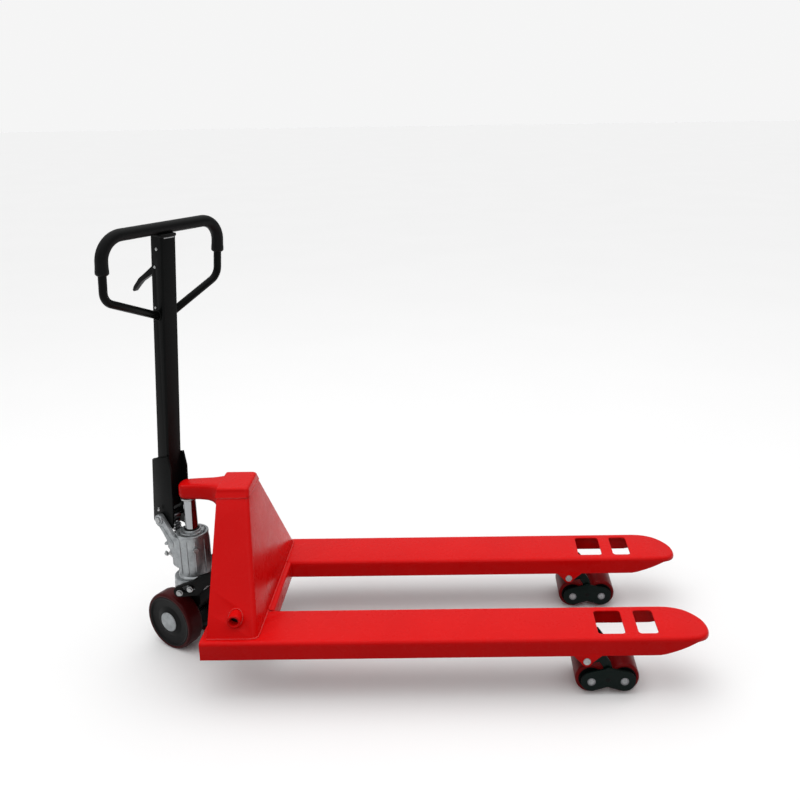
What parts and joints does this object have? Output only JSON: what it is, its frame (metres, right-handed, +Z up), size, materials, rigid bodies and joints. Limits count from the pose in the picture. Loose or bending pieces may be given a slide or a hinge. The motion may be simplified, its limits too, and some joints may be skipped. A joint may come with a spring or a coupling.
{
  "type": "hand pallet jack",
  "caption": "Manual pallet jack: twin forks on tandem load rollers, sloped mast, hydraulic hand pump on twin steer wheels, drawbar with loop handle and release lever.",
  "frame": {"origin": "floor level, middle of the overall length and width", "axes": "+X along the forks to their tips, +Y to the operator's left, +Z up"},
  "size_m": [1.5239, 0.557, 1.1943],
  "materials": {
    "red_paint": "glossy powder coat",
    "black_paint": "satin powder coat",
    "silver_paint": "metallic silver paint over castings",
    "chrome": "polished",
    "zinc_steel": "zinc plated",
    "spring_steel": "oiled",
    "polyurethane": "cast polyurethane",
    "nylon": "moulded",
    "grip": "moulded grip"
  },
  "bodies": {
    "chassis": {"fork_right": "red_paint", "fork_left": "red_paint", "base_plate": "red_paint", "mast_shell": "red_paint", "head_cap": "red_paint", "shaft_bush_right": "red_paint", "shaft_bush_left": "red_paint", "arm_bolt_right_outer": "zinc_steel", "arm_bolt_right_inner": "zinc_steel", "arm_bolt_left_outer": "zinc_steel", "arm_bolt_left_inner": "zinc_steel", "ram_rod": "chrome"},
    "crank": {"torsion_shaft": "zinc_steel", "rocker_arm": "black_paint", "crank_lug_right": "black_paint", "crank_lug_left": "black_paint"},
    "carrier": {"swivel_housing": "silver_paint"},
    "pump": {"pump_body": "silver_paint", "gland_nut": "zinc_steel", "filler_plug": "zinc_steel", "axle_block": "black_paint", "steer_axle": "zinc_steel", "handle_pin": "zinc_steel"},
    "plunger": {"pump_plunger": "chrome", "plunger_spring": "spring_steel"},
    "release": {"release_lever": "silver_paint"},
    "handle": {"handle_bracket": "black_paint", "handle_tube": "black_paint", "handle_loop": "black_paint", "grip_sleeve": "grip", "lever_pin": "zinc_steel", "pull_rod": "zinc_steel"},
    "thrust_wheel": {"thrust_roller": "zinc_steel"},
    "finger_lever": {"control_lever": "black_paint"},
    "rod_right": {"push_rod_right": "black_paint"},
    "arm_right": {"roller_arm_right": "black_paint"},
    "bogie_right": {"bogie_plate_right_outer": "black_paint", "bogie_plate_right_inner": "black_paint", "roller_axle_right_rear": "zinc_steel", "roller_axle_right_front": "zinc_steel"},
    "roller_right_rear": {"roller_tyre_right_rear": "polyurethane", "roller_core_right_rear": "nylon"},
    "roller_right_front": {"roller_tyre_right_front": "polyurethane", "roller_core_right_front": "nylon"},
    "wheel_right": {"steer_tyre_right": "polyurethane", "steer_hub_right": "nylon", "hub_cap_right": "silver_paint"},
    "rod_left": {"push_rod_left": "black_paint"},
    "arm_left": {"roller_arm_left": "black_paint"},
    "bogie_left": {"bogie_plate_left_outer": "black_paint", "bogie_plate_left_inner": "black_paint", "roller_axle_left_rear": "zinc_steel", "roller_axle_left_front": "zinc_steel"},
    "roller_left_rear": {"roller_tyre_left_rear": "polyurethane", "roller_core_left_rear": "nylon"},
    "roller_left_front": {"roller_tyre_left_front": "polyurethane", "roller_core_left_front": "nylon"},
    "wheel_left": {"steer_tyre_left": "polyurethane", "steer_hub_left": "nylon", "hub_cap_left": "silver_paint"}
  },
  "joints": [
    {"name": "lift", "type": "slide", "parent": "chassis", "child": "carrier", "axis": [0, 0, 1], "range_m": [0, 0.0785]},
    {"name": "steer", "type": "hinge", "parent": "carrier", "child": "pump", "pos_m": [-0.6161, 0, 0.19], "axis": [0, 0, 1], "range_deg": [-60, 120]},
    {"name": "crank_turn", "type": "hinge", "parent": "chassis", "child": "crank", "pos_m": [-0.4501, 0, 0.212], "axis": [0, 1, 0], "range_deg": [0, 26.7]},
    {"name": "handle_tilt", "type": "hinge", "parent": "pump", "child": "handle", "pos_m": [-0.68365, 0.039, 0.371], "axis": [-0.5, -0.866, 0], "range_deg": [0, 90]},
    {"name": "plunger_push", "type": "slide", "parent": "pump", "child": "plunger", "axis": [0, 0, 1], "range_m": [0, 0.0215], "stiffness_N_per_m": 1500, "deforming": ["plunger_spring"]},
    {"name": "thrust_spin", "type": "hinge", "parent": "handle", "child": "thrust_wheel", "pos_m": [-0.66813, 0.03004, 0.36931], "axis": [0.5, 0.866, 0], "continuous": true},
    {"name": "finger_pull", "type": "hinge", "parent": "handle", "child": "finger_lever", "pos_m": [-0.63088, 0.00853, 1.07941], "axis": [0.5, 0.866, 0], "range_deg": [-12, 18]},
    {"name": "release_turn", "type": "hinge", "parent": "pump", "child": "release", "pos_m": [-0.68625, 0.0405, 0.288], "axis": [0.5, 0.866, 0], "range_deg": [-6.5, 9.5]},
    {"name": "rod_slide_right", "type": "slide", "parent": "chassis", "child": "rod_right", "axis": [-1, 0, 0], "range_m": [0, 0.0282]},
    {"name": "arm_swing_right", "type": "hinge", "parent": "chassis", "child": "arm_right", "pos_m": [0.4399, -0.2, 0.1045], "axis": [0, -1, 0], "range_deg": [0, 60.5]},
    {"name": "bogie_rock_right", "type": "hinge", "parent": "arm_right", "child": "bogie_right", "pos_m": [0.4959, -0.2, 0.044], "axis": [0, 1, 0], "range_deg": [0, 60.5]},
    {"name": "roller_spin_right_rear", "type": "hinge", "parent": "bogie_right", "child": "roller_right_rear", "pos_m": [0.4535, -0.2, 0.04], "axis": [0, 1, 0], "continuous": true},
    {"name": "roller_spin_right_front", "type": "hinge", "parent": "bogie_right", "child": "roller_right_front", "pos_m": [0.5383, -0.2, 0.04], "axis": [0, 1, 0], "continuous": true},
    {"name": "wheel_spin_right", "type": "hinge", "parent": "pump", "child": "wheel_right", "pos_m": [-0.67909, -0.0231, 0.083], "axis": [0.5, 0.866, 0], "continuous": true},
    {"name": "rod_slide_left", "type": "slide", "parent": "chassis", "child": "rod_left", "axis": [-1, 0, 0], "range_m": [0, 0.0282]},
    {"name": "arm_swing_left", "type": "hinge", "parent": "chassis", "child": "arm_left", "pos_m": [0.4399, 0.2, 0.1045], "axis": [0, -1, 0], "range_deg": [0, 60.5]},
    {"name": "bogie_rock_left", "type": "hinge", "parent": "arm_left", "child": "bogie_left", "pos_m": [0.4959, 0.2, 0.044], "axis": [0, 1, 0], "range_deg": [0, 60.5]},
    {"name": "roller_spin_left_rear", "type": "hinge", "parent": "bogie_left", "child": "roller_left_rear", "pos_m": [0.4535, 0.2, 0.04], "axis": [0, 1, 0], "continuous": true},
    {"name": "roller_spin_left_front", "type": "hinge", "parent": "bogie_left", "child": "roller_left_front", "pos_m": [0.5383, 0.2, 0.04], "axis": [0, 1, 0], "continuous": true},
    {"name": "wheel_spin_left", "type": "hinge", "parent": "pump", "child": "wheel_left", "pos_m": [-0.62759, 0.0661, 0.083], "axis": [0.5, 0.866, 0], "continuous": true}
  ],
  "couplings": [
    {"joint": "crank_turn", "follows": "lift", "rad_per_m": 5.8029},
    {"joint": "plunger_push", "follows": "handle_tilt", "m_per_rad": 0.0122},
    {"joint": "release_turn", "follows": "finger_pull", "ratio": 0.5},
    {"joint": "rod_slide_right", "follows": "lift", "ratio": 0.3557},
    {"joint": "arm_swing_right", "follows": "lift", "rad_per_m": 13.301},
    {"joint": "bogie_rock_right", "follows": "lift", "rad_per_m": 13.301},
    {"joint": "rod_slide_left", "follows": "lift", "ratio": 0.3557},
    {"joint": "arm_swing_left", "follows": "lift", "rad_per_m": 13.301},
    {"joint": "bogie_rock_left", "follows": "lift", "rad_per_m": 13.301}
  ]
}
